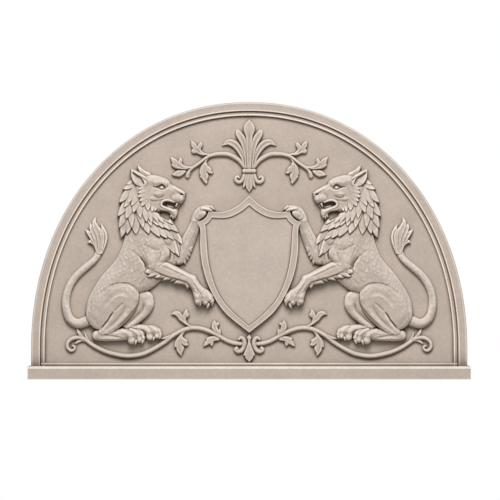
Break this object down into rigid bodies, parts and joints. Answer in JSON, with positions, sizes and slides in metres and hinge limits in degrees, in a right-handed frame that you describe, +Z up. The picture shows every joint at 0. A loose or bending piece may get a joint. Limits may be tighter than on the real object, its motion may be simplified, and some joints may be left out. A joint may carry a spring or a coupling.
{
  "type": "tympanum panel",
  "caption": "Arched cast stone tympanum panel with seated lions flanking a blank shield in relief, foliage scrolls above and below, a moulded rim and a plain sill.",
  "frame": {"origin": "on the flat back face, on the panel's centre line, 500 mm above the sill's underside", "axes": "+X along the panel's width to the viewer's right, +Y into the wall behind it, +Z up towards the crown of the arch"},
  "size_m": [1.77, 0.134, 1.108],
  "materials": {
    "carved_stone": "matte",
    "sill_stone": "matte"
  },
  "bodies": {
    "root": {"arched_panel": "carved_stone", "sill": "sill_stone"}
  },
  "joints": []
}
